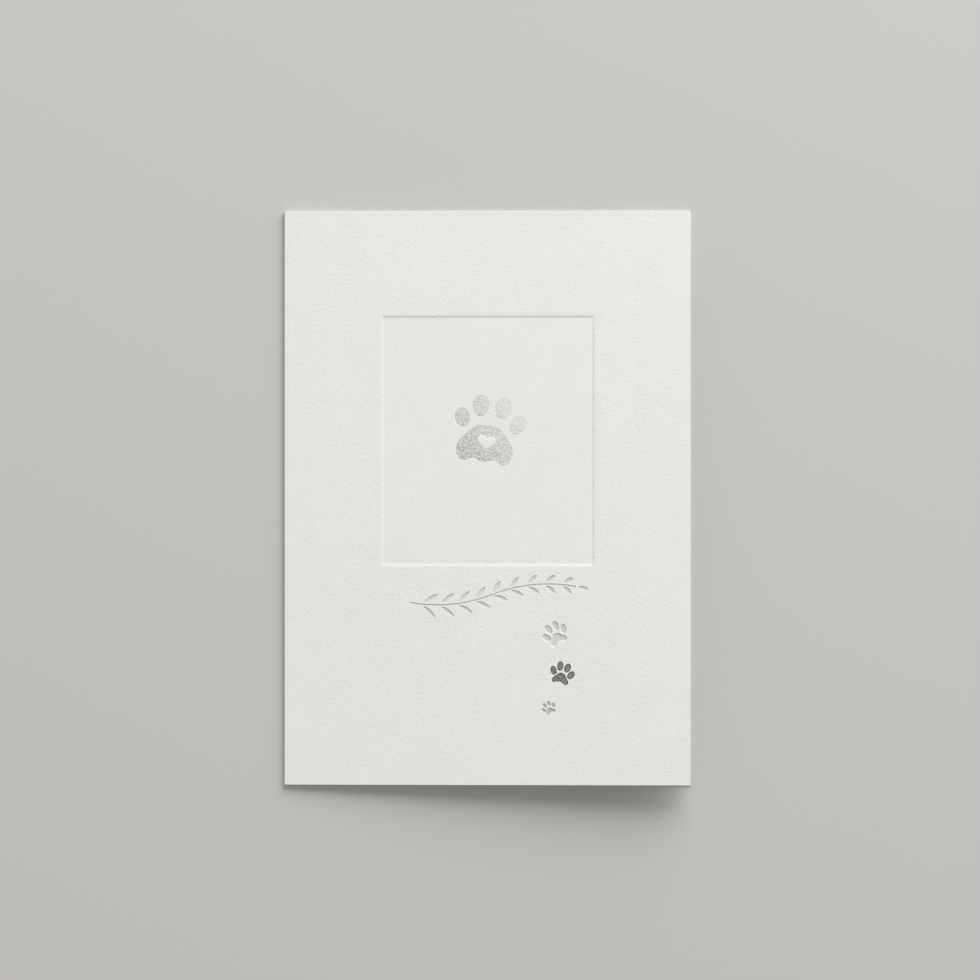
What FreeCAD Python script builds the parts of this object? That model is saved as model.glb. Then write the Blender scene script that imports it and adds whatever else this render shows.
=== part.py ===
"""Folded greeting card in thick cotton paper, letterpress printed on its cover.

All sizes are in millimetres. The closed card lies on its back leaf with the fold at
its left (-X), the cover up (+Z) and the top of the cover towards +Y. The fold springs
the cover leaf a few degrees open, as on any card that isn't pressed flat. The origin
is on the table, under the middle of the card.

The ornaments are drawn on a flat cover, seen from above, and then set on the tilted one.
"""

import FreeCAD
import Part

import math
import os

# The closed card, and the paper that it is folded from.
card_width = 105.0
card_height = 148.0
paper_thickness = 0.55
fold_inner_radius = 0.1
resting_angle = 3.5

# The letterpress plate lies this far to the right of the cover's middle, and places
# to the side are measured from its own middle.
plate_aside = 0.3

# The pressed panel: a flat floor with sloping sides.
panel_width = 54.0
panel_height = 63.6
panel_top_margin = 27.4
panel_corner_radius = 0.5
panel_slope_width = 0.35
panel_depth = 0.17

# How deep the rest of the plate presses, and the foil laid on the floor that it leaves.
paw_depth_in_panel = 0.06
ornament_depth = 0.2
foil_thickness = 0.04

# The large paw stands on a point under the middle between its toes, which lies this far
# to the side of the panel's middle and below it. The pad is a little to one side of that
# point, and the toes are placed up from the top of the pad.
large_paw_aside = -1.15
large_paw_drop = 5.65
large_paw_turn = -8.6
large_pad_width = 14.5
large_pad_height = 9.5
large_pad_aside = -0.25
large_inner_toe_length = 5.45
large_inner_toe_width = 4.12
large_inner_toe_aside = 2.92
large_inner_toe_rise = 4.88
large_inner_toe_lean = 5.0
large_outer_toe_length = 4.94
large_outer_toe_width = 3.76
large_outer_toe_aside = 7.2
large_outer_toe_rise = 1.25
large_outer_toe_lean = 20.0

# The heart left open in the large pad.
heart_width = 4.8
heart_height = 3.9
heart_lobe_radius = 1.25
heart_tip_rise = 3.05
heart_aside = -0.12

# The track of three small paws, down the blank space under the panel. Each one's place
# down is a share of that space.
blind_paw_width = 6.7
blind_paw_aside = 18.4
blind_paw_down = 0.35
foil_paw_width = 6.35
foil_paw_aside = 18.55
foil_paw_down = 0.53
tiny_paw_width = 3.8
tiny_paw_aside = 16.25
tiny_paw_down = 0.671
blind_paw_turn = 28.5
foil_paw_turn = -15.8

# The leafy sprig just under the panel. Its stem is two arcs, one bowed down and one up.
sprig_aside = -20.2
sprig_down = 0.175
sprig_turn = 5.5
sprig_length = 43.0
stem_bow = 1.5
stem_width = 0.36
leaf_pairs = 9
leaf_width = 1.05
first_leaf_length = 4.4
last_leaf_length = 2.8
first_leaf_place = 3.0
last_leaf_place = 39.5
leaf_lean = 38.0
leaf_gap = 0.45

# Outlines of the pads: the poles of a smooth curve down the right half, each as a share
# of half the pad's width and of its height. The first and last lie on the middle line.
# The outline is drawn as arcs that stay this near to the curve.
pad_arc_tolerance = 0.02
large_pad_poles = [
    (0.0, 1.015),
    (0.42, 0.985),
    (0.735, 0.727),
    (1.07, 0.404),
    (0.965, 0.03),
    (0.64, -0.05),
    (0.35, 0.177),
    (0.0, -0.086),
]
small_pad_poles = [
    (0.0, 1.01),
    (0.437, 0.953),
    (0.62, 0.6),
    (1.126, 0.378),
    (0.804, -0.065),
    (0.322, 0.2),
    (0.0, 0.245),
]

# The small paw, as shares of its width. Its origin lies between the ends of its pad, and
# under the middle between its toes. A toe has its place across and up from there, its
# length and its width.
small_pad_width = 0.685
small_pad_height = 0.475
small_pad_drop = 0.127
small_inner_toe = (0.153, 0.594, 0.39, 0.255)
small_outer_toe = (0.364, 0.35, 0.38, 0.25)
small_inner_toe_lean = 7.0
small_outer_toe_lean = 27.0

fold_outer_radius = fold_inner_radius + paper_thickness
leaf_length = card_width - fold_outer_radius
fold_x = fold_outer_radius - card_width / 2
closed_cover_z = 2 * fold_outer_radius

panel_top = card_height / 2 - panel_top_margin
panel_bottom = panel_top - panel_height
panel_middle = (panel_top + panel_bottom) / 2
space_under_panel = panel_bottom + card_height / 2

stem_half = sprig_length / 2
stem_radius = (stem_half**2 / 4 + stem_bow**2) / (2 * stem_bow)


def vector(x, y, z=0.0):
    return FreeCAD.Vector(x, y, z)


def towards(angle):
    """The unit vector in the XY plane at this angle from +X, in degrees."""
    return vector(math.cos(math.radians(angle)), math.sin(math.radians(angle)))


def arc(centre, radius, start, end):
    """Three points of an arc about a centre: at its start, its middle and its end."""
    return [centre + towards(angle) * radius for angle in (start, (start + end) / 2, end)]


def closed_face(*outline):
    """A face from arcs of three points and corners of one, joined by straight lines."""
    edges = []
    for number, points in enumerate(outline):
        if len(points) == 3:
            edges.append(Part.Arc(*points).toShape())
        following = outline[(number + 1) % len(outline)][0]
        if points[-1].distanceToPoint(following) > Part.Precision.confusion():
            edges.append(Part.makeLine(points[-1], following))
    return Part.Face(Part.Wire(edges))


def folded_sheet():
    """Back leaf, round fold and cover leaf: their section, run along the fold."""
    centre = vector(fold_x, fold_outer_radius)
    cover_start = 90 + resting_angle
    outer = arc(centre, fold_outer_radius, 270, cover_start)
    inner = arc(centre, fold_inner_radius, cover_start, 270)
    along_back = vector(leaf_length, 0)
    along_cover = towards(resting_angle) * leaf_length
    section = closed_face(
        outer,
        [outer[2] + along_cover],
        [inner[0] + along_cover],
        inner,
        [inner[2] + along_back],
        [outer[0] + along_back],
    )
    section.rotate(vector(0, 0), vector(1, 0), 90)
    section.translate(vector(0, card_height / 2))
    return section.extrude(vector(0, -card_height))


def set_on_cover(shape):
    """Moves a shape from the flat drawing, where Z = 0 is the cover's face, to the cover."""
    shape.translate(vector(0, 0, closed_cover_z))
    shape.rotate(vector(fold_x, 0, fold_outer_radius), vector(0, 1), -resting_angle)
    return shape


def set_in_drawing(faces, turn, x, y):
    for face in faces:
        face.rotate(vector(0, 0), vector(0, 0, 1), turn)
        face.translate(vector(x, y))
    return faces


def rounded_rectangle(width, height, radius, z):
    corners = []
    for number, (side_x, side_y) in enumerate([(1, 1), (-1, 1), (-1, -1), (1, -1)]):
        centre = vector(side_x * (width / 2 - radius), side_y * (height / 2 - radius), z)
        corners.append(arc(centre, radius, 90 * number, 90 * number + 90))
    return closed_face(*corners).OuterWire


def panel_tool():
    """A plate with sloping sides, which go on widening a paper's thickness above it."""
    spread = panel_slope_width * (1 + paper_thickness / panel_depth)
    floor = rounded_rectangle(panel_width, panel_height, panel_corner_radius, -panel_depth)
    mouth = rounded_rectangle(
        panel_width + 2 * spread,
        panel_height + 2 * spread,
        panel_corner_radius + spread,
        paper_thickness,
    )
    tool = Part.makeLoft([floor, mouth], True, True)
    tool.translate(vector(plate_aside, panel_middle))
    return tool


def raised_tools(faces, depth):
    """Upright tools with these outlines, which press this deep under the cover's face."""
    tools = []
    for face in faces:
        sunk = face.translated(vector(0, 0, -depth))
        tools.append(sunk.extrude(vector(0, 0, depth + paper_thickness)))
    return tools


def toe_pair(x, y, length, width, lean):
    """Two oval toes, one each side of the middle, that lean outwards at their tops."""
    toes = []
    for side in (1, -1):
        oval = Part.Ellipse(vector(0, 0), length / 2, width / 2).toShape()
        face = Part.Face(Part.Wire([oval]))
        toes += set_in_drawing([face], 90 - side * lean, side * x, y)
    return toes


def pad(poles, width, height):
    """A pad above the origin, symmetric about the Y axis."""
    right = [vector(across * width / 2, up * height) for across, up in poles]
    left = [vector(-pole.x, pole.y) for pole in reversed(right[1:-1])]
    outline = Part.BSplineCurve()
    outline.buildFromPoles(right + left, True, 3)
    arcs = outline.toBiArcs(pad_arc_tolerance)
    return Part.Face(Part.Wire([piece.toShape() for piece in arcs]))


def heart():
    """Two round lobes that cross at the notch, with straight sides down to the tip."""
    radius = heart_lobe_radius
    tip = vector(0, heart_tip_rise)
    lobe = vector(heart_width / 2 - radius, heart_tip_rise + heart_height - radius)
    to_tip = tip - lobe
    side_angle = math.atan2(to_tip.y, to_tip.x) + math.acos(radius / to_tip.Length)
    notch_angle = math.acos(-lobe.x / radius)
    right = arc(lobe, radius, math.degrees(side_angle), math.degrees(notch_angle))
    left = [vector(-point.x, point.y) for point in reversed(right)]
    return set_in_drawing([closed_face(right, left, [tip])], 0, heart_aside, 0)[0]


def large_paw():
    """Four toes and a pad with the heart left out of it."""
    whole_pad = pad(large_pad_poles, large_pad_width, large_pad_height)
    whole_pad.translate(vector(large_pad_aside, 0))
    faces = whole_pad.cut(heart()).Faces
    faces += toe_pair(
        large_inner_toe_aside,
        large_pad_height + large_inner_toe_rise,
        large_inner_toe_length,
        large_inner_toe_width,
        large_inner_toe_lean,
    )
    faces += toe_pair(
        large_outer_toe_aside,
        large_pad_height + large_outer_toe_rise,
        large_outer_toe_length,
        large_outer_toe_width,
        large_outer_toe_lean,
    )
    x = plate_aside + large_paw_aside
    return set_in_drawing(faces, large_paw_turn, x, panel_middle - large_paw_drop)


def small_paw(width, turn, aside, down):
    sole = pad(small_pad_poles, small_pad_width * width, small_pad_height * width)
    sole.translate(vector(0, -small_pad_drop * width))
    inner = [share * width for share in small_inner_toe]
    outer = [share * width for share in small_outer_toe]
    faces = [sole]
    faces += toe_pair(*inner, small_inner_toe_lean)
    faces += toe_pair(*outer, small_outer_toe_lean)
    x = plate_aside + aside
    return set_in_drawing(faces, turn, x, panel_bottom - down * space_under_panel)


def stem_place(along):
    """A point on the stem's middle line, and the stem's direction there in degrees."""
    side = -1 if along < stem_half else 1
    offset = along - (1 + side / 2) * stem_half
    swing = math.asin(offset / stem_radius)
    rise = side * (stem_radius * math.cos(swing) - stem_radius + stem_bow)
    return vector(along, rise), -side * math.degrees(swing)


def beside_stem(along, distance):
    place, direction = stem_place(along)
    return place + towards(direction + 90) * distance


def stem():
    """A band of even width along each of the two arcs."""
    faces = []
    for start in (0, stem_half):
        places = [start, start + stem_half / 2, start + stem_half]
        upper = [beside_stem(along, stem_width / 2) for along in places]
        lower = [beside_stem(along, -stem_width / 2) for along in reversed(places)]
        faces.append(closed_face(upper, lower))
    return faces


def leaf(length, along, lean):
    """A pointed leaf of two arcs, just off the stem and leaning away from it."""
    base = vector(0, 0)
    tip = vector(length, 0)
    upper = [base, vector(length / 2, leaf_width / 2), tip]
    lower = [tip, vector(length / 2, -leaf_width / 2), base]
    blade = closed_face(upper, lower)
    blade.translate(vector(stem_width / 2 + leaf_gap, 0))
    place, direction = stem_place(along)
    return set_in_drawing([blade], direction + lean, place.x, place.y)


def sprig():
    """The stem, a leaf at its tip, and pairs of leaves that get shorter towards it."""
    faces = stem() + leaf(last_leaf_length, sprig_length, 0)
    for number in range(leaf_pairs):
        share = number / (leaf_pairs - 1)
        along = first_leaf_place + share * (last_leaf_place - first_leaf_place)
        length = first_leaf_length + share * (last_leaf_length - first_leaf_length)
        faces += leaf(length, along, leaf_lean)
        faces += leaf(length, along, -leaf_lean)
    x = plate_aside + sprig_aside
    y = panel_bottom - sprig_down * space_under_panel
    return set_in_drawing(faces, sprig_turn, x, y)


def foil(faces, floor_depth):
    """A thin layer in each outline, on the floor that the tool left."""
    layers = []
    for face in faces:
        sunk = face.translated(vector(0, 0, -floor_depth))
        layers.append(set_on_cover(sunk.extrude(vector(0, 0, foil_thickness))))
    return Part.makeCompound(layers)


large_paw_depth = panel_depth + paw_depth_in_panel
large_paw_faces = large_paw()
foil_paw_faces = small_paw(foil_paw_width, foil_paw_turn, foil_paw_aside, foil_paw_down)
ornament_faces = sprig() + foil_paw_faces
ornament_faces += small_paw(blind_paw_width, blind_paw_turn, blind_paw_aside, blind_paw_down)
ornament_faces += small_paw(tiny_paw_width, blind_paw_turn, tiny_paw_aside, tiny_paw_down)

tools = [panel_tool()]
tools += raised_tools(large_paw_faces, large_paw_depth)
tools += raised_tools(ornament_faces, ornament_depth)
pressed_sheet = folded_sheet().cut([set_on_cover(tool) for tool in tools])

parts = {
    "folded_card": pressed_sheet.removeSplitter(),
    "large_paw_foil": foil(large_paw_faces, large_paw_depth),
    "small_paw_foil": foil(foil_paw_faces, ornament_depth),
}

os.makedirs("parts", exist_ok=True)
for name, shape in parts.items():
    print(name, len(shape.Solids), "solids", round(shape.Volume, 3), "mm3", shape.isValid())
    shape.exportStep("parts/" + name + ".step")
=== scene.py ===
import math

import bmesh
import bpy
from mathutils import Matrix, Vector, noise


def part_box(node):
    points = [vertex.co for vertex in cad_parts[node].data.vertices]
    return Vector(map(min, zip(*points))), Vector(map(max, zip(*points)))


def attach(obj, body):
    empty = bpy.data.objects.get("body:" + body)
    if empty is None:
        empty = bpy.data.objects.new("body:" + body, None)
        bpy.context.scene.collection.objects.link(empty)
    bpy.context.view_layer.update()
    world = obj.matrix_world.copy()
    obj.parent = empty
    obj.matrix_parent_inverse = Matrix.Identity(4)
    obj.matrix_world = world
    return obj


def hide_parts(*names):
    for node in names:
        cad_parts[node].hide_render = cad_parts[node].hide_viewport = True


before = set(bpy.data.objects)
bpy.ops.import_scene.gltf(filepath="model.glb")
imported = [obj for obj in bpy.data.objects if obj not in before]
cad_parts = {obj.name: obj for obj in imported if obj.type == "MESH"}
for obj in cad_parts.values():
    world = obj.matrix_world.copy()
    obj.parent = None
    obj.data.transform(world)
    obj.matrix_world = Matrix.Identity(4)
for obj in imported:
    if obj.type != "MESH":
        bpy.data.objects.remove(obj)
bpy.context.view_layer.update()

# The camera looks straight down from so far above that perspective hardly shows. The
# card lies a little left of the middle of the picture and a little below it. Sizes are
# in millimetres, which MM turns into metres.
MM = 0.001
picture_width = 252.7
lens_length = 300.0
middle_of_picture = Vector((0.68, 2.09, 4.5))

camera = bpy.data.objects.new("camera", bpy.data.cameras.new("camera"))
camera.data.lens = lens_length
camera_distance = picture_width * lens_length / camera.data.sensor_width
camera.location = (middle_of_picture + Vector((0, 0, camera_distance))) * MM
bpy.context.collection.objects.link(camera)
bpy.context.scene.camera = camera

# The card is one sheet of thick, soft cotton paper. It is scored and folded once, and
# springs a few degrees open. A letterpress plate pressed the panel, the paws and the
# sprig into its cover. The sheet is made flat, in millimetres, and folded at the end.
card_low, card_high = (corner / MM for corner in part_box("folded_card"))
card_width = card_high.x - card_low.x
card_height = card_high.y - card_low.y
paper_thickness = 0.55
cut_edge_softness = 0.045
fold_outer_radius = 0.65
cover_lean = math.radians(3.98)
cover_bow = math.radians(1.0)

leaf_length = card_width - fold_outer_radius
fold_x = fold_outer_radius - card_width / 2
fold_arc = fold_outer_radius * (math.pi - cover_lean)
bow_radius = leaf_length / cover_bow

# The plate's middle lies a little to the right of the cover's. The large paw is pressed
# into the floor of the panel, and the other ornaments stand under the panel.
plate_aside = 0.3
panel_width = 54.0
panel_height = 63.6
panel_bottom = -17.0
panel_middle = panel_bottom + panel_height / 2
panel_depth = 0.17
paw_depth_in_panel = 0.06
ornament_depth = 0.2


def placed(outline, turn=0, x=0, y=0):
    """An outline turned about its origin by an angle in degrees, and moved."""
    angle = math.radians(turn)
    across = Vector((math.cos(angle), math.sin(angle), 0))
    up = Vector((-math.sin(angle), math.cos(angle), 0))
    return [Vector((x, y, 0)) + across * p.x + up * p.y for p in outline]


def arc(x, y, radius, start, end, steps):
    """Points along an arc about a centre, from one angle to another, in degrees."""
    points = []
    for step in range(steps + 1):
        angle = math.radians(start + (end - start) * step / steps)
        points.append(Vector((x + radius * math.cos(angle), y + radius * math.sin(angle), 0)))
    return points


def panel_outline(beside_corner=0.6):
    """A rectangle with a point close to each side of its corners, which keeps them crisp."""
    x = panel_width / 2
    y = panel_height / 2
    corners = [Vector((x, y, 0)), Vector((-x, y, 0)), Vector((-x, -y, 0)), Vector((x, -y, 0))]
    outline = []
    for number, corner in enumerate(corners):
        to_last = (corners[number - 1] - corner).normalized()
        to_next = (corners[(number + 1) % 4] - corner).normalized()
        outline += [corner + to_last * beside_corner, corner, corner + to_next * beside_corner]
    return placed(outline, x=plate_aside, y=panel_middle)


def toes(x, y, length, width, lean, steps):
    """Two oval toes, one each side of the middle, that lean outwards at their tops."""
    circle = arc(0, 0, radius=1, start=0, end=360, steps=steps)[:-1]
    oval = [Vector((p.x * length / 2, p.y * width / 2, 0)) for p in circle]
    return [placed(oval, 90 - side * lean, side * x, y) for side in (1, -1)]


def pad(poles, width, height, steps):
    """A smooth closed curve from the poles of its right half, four poles to a stretch.

    A pole is a share of half the pad's width and a share of its height.
    """
    right = [Vector((across * width / 2, up * height, 0)) for across, up in poles]
    left = [Vector((-p.x, p.y, 0)) for p in reversed(right[1:-1])]
    ring = list(reversed(right + left))
    outline = []
    for number in range(len(ring)):
        a, b, c, d = (ring[(number + k) % len(ring)] for k in range(4))
        for step in range(steps):
            t = step / steps
            point = a * (1 - t) ** 3
            point += b * (3 * t**3 - 6 * t**2 + 4)
            point += c * (-3 * t**3 + 3 * t**2 + 3 * t + 1)
            point += d * t**3
            outline.append(point / 6)
    return outline


def heart_outline():
    """Two round lobes that cross at the notch, with straight sides down to the tip."""
    width = 4.8
    height = 3.9
    tip_rise = 3.05
    radius = 1.25
    lobe_x = width / 2 - radius
    lobe_y = tip_rise + height - radius
    to_tip = math.hypot(lobe_x, lobe_y - tip_rise)
    side = math.degrees(math.atan2(tip_rise - lobe_y, -lobe_x) + math.acos(radius / to_tip))
    notch = math.degrees(math.acos(-lobe_x / radius))
    right = arc(lobe_x, lobe_y, radius, start=side, end=notch, steps=20)
    left = [Vector((-p.x, p.y, 0)) for p in reversed(right[:-1])]
    return right + left + [Vector((0, tip_rise, 0))]


# The large paw leans a little to the right in the panel, with the heart in its pad.
large_paw_turn = -8.6
large_paw_aside = -1.15
large_paw_drop = 5.65
large_pad_aside = -0.25
heart_aside = -0.12
large_pad_poles = [
    (0.0, 1.015),
    (0.42, 0.985),
    (0.735, 0.727),
    (1.07, 0.404),
    (0.965, 0.03),
    (0.64, -0.05),
    (0.35, 0.177),
    (0.0, -0.086),
]


def on_large_paw(outline, aside=0):
    """An outline of the large paw, moved aside on it and set into the panel with it."""
    x = plate_aside + large_paw_aside
    y = panel_middle - large_paw_drop
    return placed(placed(outline, x=aside), large_paw_turn, x, y)


large_toes = toes(x=2.92, y=14.38, length=5.45, width=4.12, lean=5.0, steps=64)
large_toes += toes(x=7.2, y=10.75, length=4.94, width=3.76, lean=20.0, steps=64)
large_toes = [on_large_paw(toe) for toe in large_toes]
large_pad = pad(large_pad_poles, width=14.5, height=9.5, steps=12)
large_pad = on_large_paw(large_pad, large_pad_aside)
heart = on_large_paw(heart_outline(), heart_aside)

# The three small paws step down the right of the cover. They share one shape.
small_pad_poles = [
    (0.0, 1.01),
    (0.437, 0.953),
    (0.62, 0.6),
    (1.126, 0.378),
    (0.804, -0.065),
    (0.322, 0.2),
    (0.0, 0.245),
]


def small_paw(width, turn, aside, y):
    """Pad and toes of a small paw, with all its sizes in shares of its width."""
    sole = pad(small_pad_poles, width=0.685 * width, height=0.475 * width, steps=6)
    inner = toes(
        x=0.153 * width,
        y=0.594 * width,
        length=0.39 * width,
        width=0.255 * width,
        lean=7.0,
        steps=36,
    )
    outer = toes(
        x=0.364 * width,
        y=0.35 * width,
        length=0.38 * width,
        width=0.25 * width,
        lean=27.0,
        steps=36,
    )
    outlines = [placed(sole, y=-0.127 * width)] + inner + outer
    return [placed(outline, turn, plate_aside + aside, y) for outline in outlines]


blind_paw = small_paw(width=6.7, turn=28.5, aside=18.4, y=-36.95)
foil_paw = small_paw(width=6.35, turn=-15.8, aside=18.55, y=-47.21)
tiny_paw = small_paw(width=3.8, turn=28.5, aside=16.25, y=-55.25)

# The sprig has a stem of two arcs, one bowed down and one up, with a leaf at its tip and
# pairs of leaves that get shorter towards it.
sprig_length = 43.0
sprig_turn = 5.5
sprig_aside = -20.2
sprig_y = -26.975
stem_width = 0.36
stem_bow = 1.5
stem_half = sprig_length / 2
stem_radius = (stem_half**2 / 4 + stem_bow**2) / (2 * stem_bow)
leaf_pairs = 9
leaf_lean = 38
leaf_gap = 0.45
leaf_half_width = 0.525
first_leaf_length = 4.4
last_leaf_length = 2.8
first_leaf_place = 3.0
last_leaf_place = 39.5


def stem_place(along):
    """A point on the stem's middle line, and the stem's direction there in degrees."""
    side = -1 if along < stem_half else 1
    swing = math.asin((along - (1 + side / 2) * stem_half) / stem_radius)
    rise = side * (stem_radius * math.cos(swing) - stem_radius + stem_bow)
    return Vector((along, rise, 0)), -side * math.degrees(swing)


def stem_outline(steps=40):
    upper = []
    lower = []
    for step in range(steps + 1):
        place, direction = stem_place(sprig_length * step / steps)
        across = placed([Vector((0, stem_width / 2, 0))], direction)[0]
        upper.append(place + across)
        lower.append(place - across)
    return lower + upper[::-1]


def leaf_outline(length, along, lean, steps=14):
    """A pointed leaf of two arcs, just off the stem and leaning away from it."""
    radius = (length**2 / 4 + leaf_half_width**2) / (2 * leaf_half_width)
    sweep = math.degrees(math.asin(length / 2 / radius))
    rise = radius - leaf_half_width
    lower = arc(length / 2, rise, radius, start=270 - sweep, end=270 + sweep, steps=steps)
    upper = arc(length / 2, -rise, radius, start=90 - sweep, end=90 + sweep, steps=steps)
    blade = placed(lower + upper[1:-1], x=stem_width / 2 + leaf_gap)
    place, direction = stem_place(along)
    return placed(blade, direction + lean, place.x, place.y)


sprig = [stem_outline(), leaf_outline(last_leaf_length, sprig_length, lean=0)]
for number in range(leaf_pairs):
    share = number / (leaf_pairs - 1)
    length = first_leaf_length + share * (last_leaf_length - first_leaf_length)
    along = first_leaf_place + share * (last_leaf_place - first_leaf_place)
    for lean in (leaf_lean, -leaf_lean):
        sprig.append(leaf_outline(length, along, lean))
sprig = [placed(outline, sprig_turn, plate_aside + sprig_aside, sprig_y) for outline in sprig]

# The press sinks a wall round each outline. A step of a wall is a share of its width and
# a share of its depth, from the top down. A flat margin borders it above and below.
flat_margin = 0.03
panel_wall = [
    (0.25, 0.07),
    (0.18, 0.1),
    (0.125, 0.08),
    (0.005, 0.01),
    (0.01, 0.54),
    (0.005, 0.01),
    (0.095, 0.07),
    (0.13, 0.07),
    (0.2, 0.05),
]
sharp_wall = [(0.4, 0.07), (0.25, 0.17), (0.2, 0.3), (0.15, 0.46)]
dished_wall = [(0.2, 0.06), (0.16, 0.16), (0.16, 0.28), (0.18, 0.27), (0.16, 0.16), (0.14, 0.07)]
crowned_wall = [(0.1, 0.4), (0.2, 0.25), (0.3, 0.2), (0.4, 0.15)]


def spread(outline, distance, sharpest=0.5):
    """The outline moved outwards by a distance, and up to twice as far at a sharp corner."""
    moved = []
    for number, point in enumerate(outline):
        before = (point - outline[number - 1]).normalized()
        after = (outline[(number + 1) % len(outline)] - point).normalized()
        along = (before + after).normalized()
        outwards = Vector((along.y, -along.x, 0))
        moved.append(point + outwards * distance / max(along.dot(after), sharpest))
    return moved


def rim(outlines, distance):
    """The outlines of the flat margins round walls that start this far outside."""
    return [spread(outline, distance + flat_margin) for outline in outlines]


def cut_out(sheet, face, outlines):
    """Cuts outlines out of a flat face, and leaves a face of its own in each."""
    height = face.verts[0].co.z
    border = list(face.edges)
    sheet.faces.remove(face)
    inside = []
    for outline in outlines:
        corners = [sheet.verts.new((point.x, point.y, height)) for point in outline]
        inside.append(sheet.faces.new(corners))
        border += inside[-1].edges
    bmesh.ops.triangle_fill(sheet, use_beauty=True, edges=border, normal=(0, 0, 1))
    return inside


def inset(piece, faces, width, rise=0):
    """Makes a ring of this width inside the border of the faces, which rise within it."""
    bmesh.ops.inset_region(
        piece,
        faces=faces,
        thickness=width,
        depth=rise,
        use_boundary=True,
        use_even_offset=True,
    )


def press(sheet, face, wall, width, depth):
    """Presses a face down inside a wall."""
    inset(sheet, [face], flat_margin)
    for across, down in wall:
        inset(sheet, [face], across * width, -down * depth)
    inset(sheet, [face], flat_margin)
    return face


# The sheet starts as a flat board with softened edges. How far it is pressed, how grey
# it is tinted and how far it is creased at each point is kept for its material. The grey
# tint is partly print and partly painted shade in the pressings.
sheet = bmesh.new()
pressed = sheet.verts.layers.float.new("pressed")
print_and_shade = sheet.verts.layers.float.new("print_and_shade")
creased = sheet.verts.layers.float.new("creased")

sheet_length = 2 * leaf_length + fold_arc
bmesh.ops.create_cube(sheet, size=1)
bmesh.ops.scale(sheet, vec=(sheet_length, card_height, paper_thickness), verts=sheet.verts)
bmesh.ops.translate(
    sheet,
    vec=(card_width / 2 - sheet_length / 2, 0, -paper_thickness / 2),
    verts=sheet.verts,
)
bmesh.ops.bevel(
    sheet,
    geom=list(sheet.edges),
    offset=cut_edge_softness,
    affect="EDGES",
    segments=2,
    profile=0.5,
    material=-1,
)
outer_face = max(sheet.faces, key=lambda face: face.calc_center_median().z)
inner_face = min(sheet.faces, key=lambda face: face.calc_center_median().z)
for face in (outer_face, inner_face):
    inset(sheet, [face], flat_margin)

# Each group of ornaments has its outlines, how far outside them its wall starts, the
# wall's width and shape, and how grey its pressing is tinted: partly print, and partly
# painted shade that darkens down the wall to the floor.
ornaments = [
    (sprig, 0.06, 0.06, sharp_wall, 0.3),
    (blind_paw, 0.06, 0.31, dished_wall, 0.42),
    (foil_paw, 0.06, 0.06, sharp_wall, 0.0),
    (tiny_paw, 0.025, 0.2, dished_wall, 0.72),
]
full_print_and_shade_depth = 0.4 * ornament_depth
panel_wall_outside = 1.05
panel_wall_width = 1.4
rims = rim([panel_outline()], panel_wall_outside)
for outlines, outside, width, wall, tone in ornaments:
    rims += rim(outlines, outside)
cut_faces = cut_out(sheet, outer_face, rims)

panel_face = press(sheet, cut_faces.pop(0), panel_wall, panel_wall_width, panel_depth)
for outlines, outside, width, wall, tone in ornaments:
    for outline in outlines:
        untouched = set(sheet.verts)
        floor = press(sheet, cut_faces.pop(0), wall, width, ornament_depth)
        # The grey grows with depth, down the wall to the floor: partly print, partly painted
        # shade in the recess.
        for vert in (set(sheet.verts) - untouched) | set(floor.verts):
            vert[print_and_shade] = tone * min(1, -vert.co.z / full_print_and_shade_depth)

# The large paw goes deeper than the panel's floor. The heart stands up out of its pad,
# crowned a little higher than that floor.
paw_wall_width = 0.25
heart_wall_width = 0.5
heart_crown = 0.05
heart_height = paw_depth_in_panel + heart_crown
paw_faces = cut_out(sheet, panel_face, rim(large_toes + [large_pad], paw_wall_width))
for face in paw_faces:
    press(sheet, face, sharp_wall, paw_wall_width, paw_depth_in_panel)
heart_face = cut_out(sheet, paw_faces[-1], [spread(heart, flat_margin)])[0]
press(sheet, heart_face, crowned_wall, heart_wall_width, -heart_height)

for vert in sheet.verts:
    if vert.co.z > -paper_thickness / 2:
        vert[pressed] = min(1, -vert.co.z / panel_depth)


def bisect(sheet, place, direction):
    bmesh.ops.bisect_plane(
        sheet,
        geom=list(sheet.verts) + list(sheet.edges) + list(sheet.faces),
        dist=0.01,
        plane_co=place,
        plane_no=direction,
    )


# Cuts through the sheet let it bend: many in the fold, two beside each end of it, and a
# few over the cover and up the height.
fold_steps = 28
cover_steps = 13
height_steps = 18
beside_fold = (0.4, 2)
cuts = [fold_x - fold_arc * step / fold_steps for step in range(fold_steps + 1)]
cuts += [fold_x + distance for distance in beside_fold]
cuts += [fold_x - fold_arc - distance for distance in beside_fold]
cuts += [fold_x + leaf_length * step / cover_steps for step in range(1, cover_steps)]
for x in cuts:
    bisect(sheet, (x, 0, 0), (1, 0, 0))
for step in range(1, height_steps):
    bisect(sheet, (0, card_height * (step / height_steps - 0.5), 0), (0, 1, 0))


def cockle(along, y):
    """How far the cover leaf stands out of flat: a slow wave that fades out at the fold."""
    height = 0.09
    wave_across = 38
    wave_up = 46
    wave_pattern = 0.3
    fade = 25
    wave = noise.noise(Vector((along / wave_across, y / wave_up, wave_pattern)))
    return height * wave * min(1, along / fade)


def squared(angle, power=3.2):
    """How far past a circle of radius 1 the pressed fold's outer face reaches at an angle."""
    return (abs(math.cos(angle)) ** power + abs(math.sin(angle)) ** power) ** (-1 / power) - 1


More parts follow.
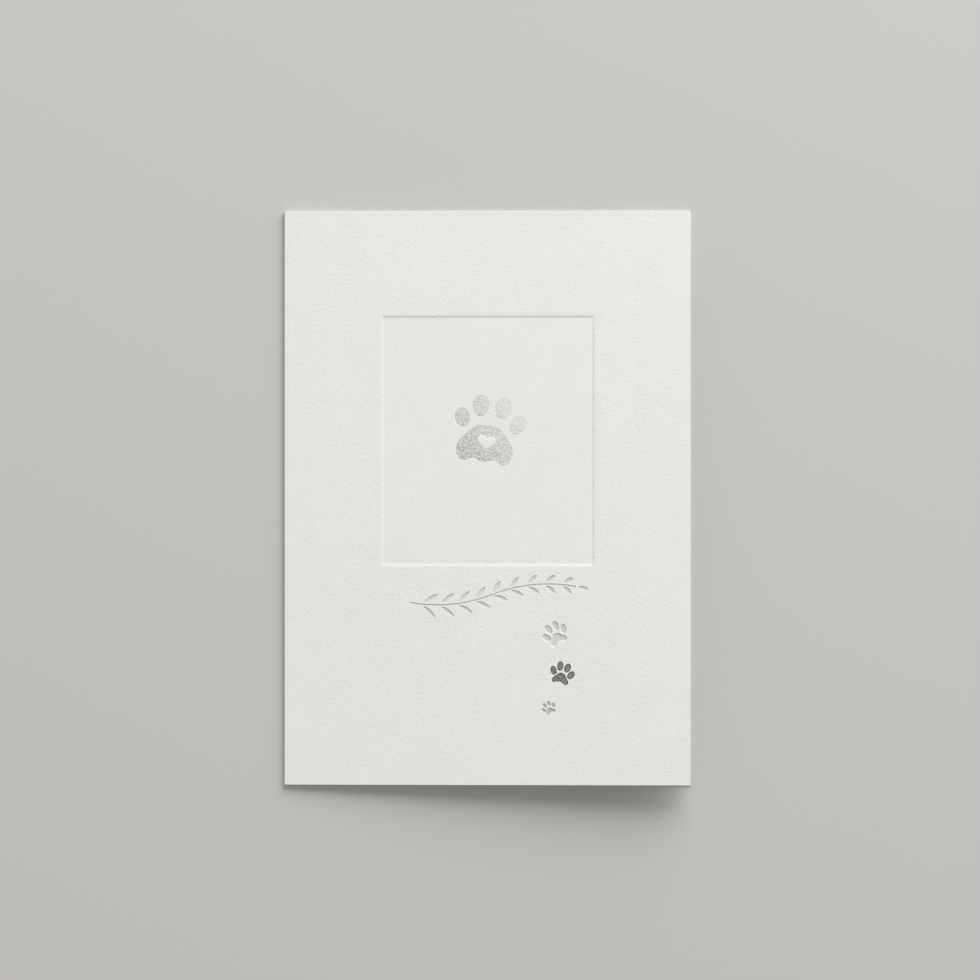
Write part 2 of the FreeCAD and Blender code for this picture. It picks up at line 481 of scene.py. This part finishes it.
def folded(point):
    """Where a point of the flat sheet lies on the folded card. Z = 0 is the outer face."""
    along = point.x - fold_x
    radius = fold_outer_radius + point.z
    if along > 0:
        radius += cockle(along, point.y)
        lean = cover_lean - along / bow_radius
        x = fold_x + bow_radius * (math.sin(cover_lean) - math.sin(lean))
        z = fold_outer_radius + bow_radius * (math.cos(lean) - math.cos(cover_lean))
        return Vector((x - radius * math.sin(lean), point.y, z + radius * math.cos(lean))) * MM
    if along > -fold_arc:
        angle = math.pi / 2 + cover_lean - along / fold_outer_radius
        outer_share = 1 + point.z / paper_thickness
        radius += fold_outer_radius * squared(angle) * outer_share
        x = fold_x + radius * math.cos(angle)
        return Vector((x, point.y, fold_outer_radius + radius * math.sin(angle))) * MM
    return Vector((fold_x - along - fold_arc, point.y, -point.z)) * MM


crease_reach = 1.5
for vert in sheet.verts:
    past_fold = max(vert.co.x - fold_x, fold_x - fold_arc - vert.co.x, 0)
    vert[creased] = max(0, 1 - past_fold / crease_reach)
    vert.co = folded(vert.co)


def finished(piece, name):
    """Makes a bmesh a smooth object of the card, with its normals outwards."""
    bmesh.ops.recalc_face_normals(piece, faces=piece.faces)
    for face in piece.faces:
        face.smooth = True
    mesh = bpy.data.meshes.new(name)
    piece.to_mesh(mesh)
    piece.free()
    made = bpy.data.objects.new(name, mesh)
    bpy.context.collection.objects.link(made)
    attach(made, "root")
    return made


card = finished(sheet, "card")
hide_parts("folded_card")


def new_material(name):
    material = bpy.data.materials.new(name)
    material.use_nodes = True
    nodes = material.node_tree.nodes
    return material, nodes, material.node_tree.links, nodes["Principled BSDF"]


def noise_pattern(nodes, links, place, size, detail, roughness):
    """A cloudy pattern whose patches are about this many millimetres across."""
    pattern = nodes.new("ShaderNodeTexNoise")
    pattern.inputs["Scale"].default_value = 1 / (size * MM)
    pattern.inputs["Detail"].default_value = detail
    pattern.inputs["Roughness"].default_value = roughness
    links.new(place, pattern.inputs["Vector"])
    return pattern.outputs["Fac"]


def calculated(nodes, links, operation, *values):
    """A maths node with these numbers or sockets as its inputs."""
    node = nodes.new("ShaderNodeMath")
    node.operation = operation
    for number, value in enumerate(values):
        if isinstance(value, (int, float)):
            node.inputs[number].default_value = value
        else:
            links.new(value, node.inputs[number])
    return node.outputs[0]


def attribute(nodes, name):
    node = nodes.new("ShaderNodeAttribute")
    node.attribute_name = name
    return node.outputs["Fac"]


def mixed_colour(nodes, links, amount, first, second):
    node = nodes.new("ShaderNodeMix")
    node.data_type = "RGBA"
    links.new(amount, node.inputs["Factor"])
    for socket, colour in ((node.inputs[6], first), (node.inputs[7], second)):
        if isinstance(colour, tuple):
            socket.default_value = (*colour, 1)
        else:
            links.new(colour, socket)
    return node.outputs[2]


def roughen(nodes, links, shader, height, depth):
    """Gives the surface the relief of a pattern, this many millimetres deep."""
    bump = nodes.new("ShaderNodeBump")
    bump.inputs["Strength"].default_value = 1.0
    bump.inputs["Distance"].default_value = depth * MM
    links.new(height, bump.inputs["Height"])
    links.new(bump.outputs["Normal"], shader.inputs["Normal"])


def cotton_paper():
    """Uncoated cotton paper: matt, with a soft tooth that the press has smoothed."""
    relief_depth = 0.062
    fibre_height = 0.3
    crease_height = 0.9
    lost_under_press = 0.4
    cloud_share = 0.25
    fleck_share = 0.75
    paper_dark = (0.74, 0.731, 0.702)
    paper_light = (0.88, 0.871, 0.843)
    print_and_shade_grey = (0.42, 0.42, 0.375)

    material, nodes, links, shader = new_material("cotton_paper")
    place = nodes.new("ShaderNodeTexCoord").outputs["Object"]
    tooth = noise_pattern(nodes, links, place, size=0.75, detail=2.0, roughness=0.5)
    fibres = noise_pattern(nodes, links, place, size=0.22, detail=3.0, roughness=0.6)
    clouds = noise_pattern(nodes, links, place, size=9.0, detail=2.0, roughness=0.5)
    flecks = noise_pattern(nodes, links, place, size=0.42, detail=1.0, roughness=0.5)

    press_mark = attribute(nodes, "pressed")
    tooth_left = calculated(nodes, links, "MULTIPLY_ADD", press_mark, -lost_under_press, 1.0)
    relief = calculated(nodes, links, "MULTIPLY_ADD", fibres, fibre_height, tooth)
    relief = calculated(nodes, links, "MULTIPLY", relief, tooth_left)
    crease = calculated(nodes, links, "MULTIPLY", attribute(nodes, "creased"), fibres)
    relief = calculated(nodes, links, "MULTIPLY_ADD", crease, crease_height, relief)
    roughen(nodes, links, shader, relief, relief_depth)

    shade = calculated(nodes, links, "MULTIPLY", clouds, cloud_share)
    shade = calculated(nodes, links, "MULTIPLY_ADD", flecks, fleck_share, shade)
    colour = mixed_colour(nodes, links, shade, paper_dark, paper_light)
    # The grey in the pressings is partly print and partly painted shade.
    colour = mixed_colour(nodes, links, attribute(nodes, "print_and_shade"), colour, print_and_shade_grey)
    links.new(colour, shader.inputs["Base Color"])
    shader.inputs["Roughness"].default_value = 0.92
    shader.inputs["Specular IOR Level"].default_value = 0.25
    return material


card.data.materials.append(cotton_paper())

# The foil of the large paw: five fields of matt silver, hot-pressed onto the paper in
# the sunk panel. The pad's field leaves the heart open.
foil_thickness = 0.04
foil_edge_drop = 0.004
foil_edge_width = 0.05
silver_shaded_rim = 0.06
silver_dark = (0.452, 0.448, 0.425)
silver_light = (0.79, 0.786, 0.756)


def foil_field(layer, depth, rim_width, outline, hole=None):
    """One field of foil on a floor this deep, with an edge that drops and a rim inside it."""
    field = [layer.faces.new([layer.verts.new((p.x, p.y, -depth)) for p in outline])]
    if hole:
        others = set(layer.faces) - set(field)
        opened = cut_out(layer, field[0], [hole])[0]
        layer.faces.remove(opened)
        field = [face for face in layer.faces if face not in others]
    raised = bmesh.ops.extrude_face_region(layer, geom=field)["geom"]
    top_verts = [item for item in raised if isinstance(item, bmesh.types.BMVert)]
    top_faces = [item for item in raised if isinstance(item, bmesh.types.BMFace)]
    bmesh.ops.translate(layer, vec=(0, 0, foil_thickness - foil_edge_drop), verts=top_verts)
    inset(layer, top_faces, foil_edge_width, foil_edge_drop)
    inset(layer, top_faces, rim_width)
    return top_faces


def foil_layer(name, depth, rim_width, fields, sharp_edge=30):
    """The fields of one foil, each an outline and perhaps that of a hole in it.

    What lies inside the rims is marked as the middle, for the material's painted rim shade.
    """
    layer = bmesh.new()
    middle = layer.verts.layers.float.new("middle")
    for field in fields:
        for face in foil_field(layer, depth, rim_width, *field):
            for vert in face.verts:
                vert[middle] = 1.0
    for vert in layer.verts:
        vert.co = folded(vert.co)
    made = finished(layer, name)
    made.data.set_sharp_from_angle(angle=math.radians(sharp_edge))
    return made


def foil_material(name, dark, light, grain_size, contrast, roughness, painted_sheen=None):
    """Matt metal foil, pebbled by the paper under it, with painted shade along its edges.

    Painted sheen is a painted highlight that lightens the foil towards the upper right.
    It gives how far to the upper right, in millimetres, the foil is darkest and lightest.
    """
    grain_turn = math.radians(45)
    grain_stretch = 1.8
    grain_middle = 0.5
    pebble_depth = 0.08
    painted_sheen_direction = (0.79, 0.61, 0)
    even_tone = 0.5
    full_speckle = 1.2
    painted_rim_shade = -0.1
    painted_middle_lift = 0.06

    material, nodes, links, shader = new_material(name)
    place = nodes.new("ShaderNodeTexCoord").outputs["Object"]
    turned = nodes.new("ShaderNodeMapping")
    turned.vector_type = "TEXTURE"
    turned.inputs["Rotation"].default_value = (0, 0, grain_turn)
    turned.inputs["Scale"].default_value = (1, grain_stretch, 1)
    links.new(place, turned.inputs["Vector"])
    place_in_grain = turned.outputs["Vector"]
    grain = noise_pattern(nodes, links, place_in_grain, grain_size, detail=1.0, roughness=0.5)
    roughen(nodes, links, shader, grain, pebble_depth)

    tone = even_tone
    # Painted highlight: the tone ramps lighter towards the upper right.
    if painted_sheen:
        along = nodes.new("ShaderNodeVectorMath")
        along.operation = "DOT_PRODUCT"
        along.inputs[1].default_value = painted_sheen_direction
        links.new(place, along.inputs[0])
        ramp = nodes.new("ShaderNodeMapRange")
        ramp.inputs["From Min"].default_value = painted_sheen[0] * MM
        ramp.inputs["From Max"].default_value = painted_sheen[1] * MM
        links.new(along.outputs["Value"], ramp.inputs["Value"])
        tone = ramp.outputs["Result"]
    speckle = calculated(nodes, links, "SUBTRACT", grain, grain_middle)
    speckle = calculated(nodes, links, "MULTIPLY", speckle, contrast)
    strength = calculated(nodes, links, "SUBTRACT", full_speckle, tone)
    tone = calculated(nodes, links, "MULTIPLY_ADD", speckle, strength, tone)
    # Painted shade: the tone is darker along the rims of each field and a little lighter inside
    # them.
    inside_rim = attribute(nodes, "middle")
    lift = painted_middle_lift - painted_rim_shade
    edge = calculated(nodes, links, "MULTIPLY_ADD", inside_rim, lift, painted_rim_shade)
    tone = calculated(nodes, links, "ADD", tone, edge)
    links.new(mixed_colour(nodes, links, tone, dark, light), shader.inputs["Base Color"])
    shader.inputs["Metallic"].default_value = 0.25
    shader.inputs["Roughness"].default_value = roughness
    return material


large_paw_depth = panel_depth + paw_depth_in_panel
large_fields = [(toe,) for toe in large_toes] + [(large_pad, heart)]
large_foil = foil_layer("large_paw_silver_foil", large_paw_depth, silver_shaded_rim, large_fields)
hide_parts("large_paw_foil")
# The silver's colour carries a painted highlight that lightens it towards the upper right.
silver = foil_material(
    "silver_foil",
    silver_dark,
    silver_light,
    grain_size=0.32,
    contrast=3.8,
    roughness=0.75,
    painted_sheen=(-7, 21),
)
large_foil.data.materials.append(silver)

# The foil of the middle one of the small paws: five fields of dark pewter, hot-pressed
# onto the floor of that paw's own pressing. Wide rims of painted shade darken these small
# fields.
pewter_shaded_rim = 0.38
pewter_dark = (0.094, 0.094, 0.083)
pewter_light = (0.325, 0.325, 0.289)

small_fields = [(outline,) for outline in foil_paw]
small_foil = foil_layer("small_paw_pewter_foil", ornament_depth, pewter_shaded_rim, small_fields)
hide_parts("small_paw_foil")
pewter = foil_material(
    "pewter_foil",
    pewter_dark,
    pewter_light,
    grain_size=0.27,
    contrast=5.4,
    roughness=0.65,
)
small_foil.data.materials.append(pewter)

# The table is a plain, matt surface in a pale, warm grey, some metres wide. It lies a
# hair under the card, so that the two don't share a plane.
table_radius = 4.0
gap_under_card = 0.03 * MM
table_colour = (0.55, 0.54, 0.525, 1)

table = bmesh.new()
bmesh.ops.create_circle(table, cap_ends=True, radius=table_radius, segments=64)
bmesh.ops.translate(table, vec=(0, 0, -gap_under_card), verts=table.verts)
mesh = bpy.data.meshes.new("table")
table.to_mesh(mesh)
table.free()
floor = bpy.data.objects.new("table", mesh)
bpy.context.collection.objects.link(floor)
material, nodes, links, shader = new_material("table")
shader.inputs["Base Color"].default_value = table_colour
shader.inputs["Roughness"].default_value = 0.9
floor.data.materials.append(material)

# A soft box stands to the upper right, so low that its light rakes across the pressed
# cover. A bright room fills the shadows. Sizes are in metres here, and power in watts.
light_direction = math.radians(66)
light_elevation = math.radians(29)
light_distance = 1.9
light_size = 1.8
light_power = 48.5
room_colour = (1.0, 0.995, 0.985, 1)
room_brightness = 0.45

lamp = bpy.data.lights.new("key_light", "AREA")
lamp.shape = "DISK"
lamp.size = light_size
lamp.energy = light_power
soft_box = bpy.data.objects.new("key_light", lamp)
level = math.cos(light_elevation)
aim = Vector(
    (
        level * math.cos(light_direction),
        level * math.sin(light_direction),
        math.sin(light_elevation),
    )
)
soft_box.location = aim * light_distance
soft_box.rotation_euler = aim.to_track_quat("Z", "Y").to_euler()
bpy.context.collection.objects.link(soft_box)

world = bpy.data.worlds.new("bright_room")
world.use_nodes = True
background = world.node_tree.nodes["Background"]
background.inputs["Color"].default_value = room_colour
background.inputs["Strength"].default_value = room_brightness
bpy.context.scene.world = world

bpy.context.scene.view_settings.view_transform = "Standard"
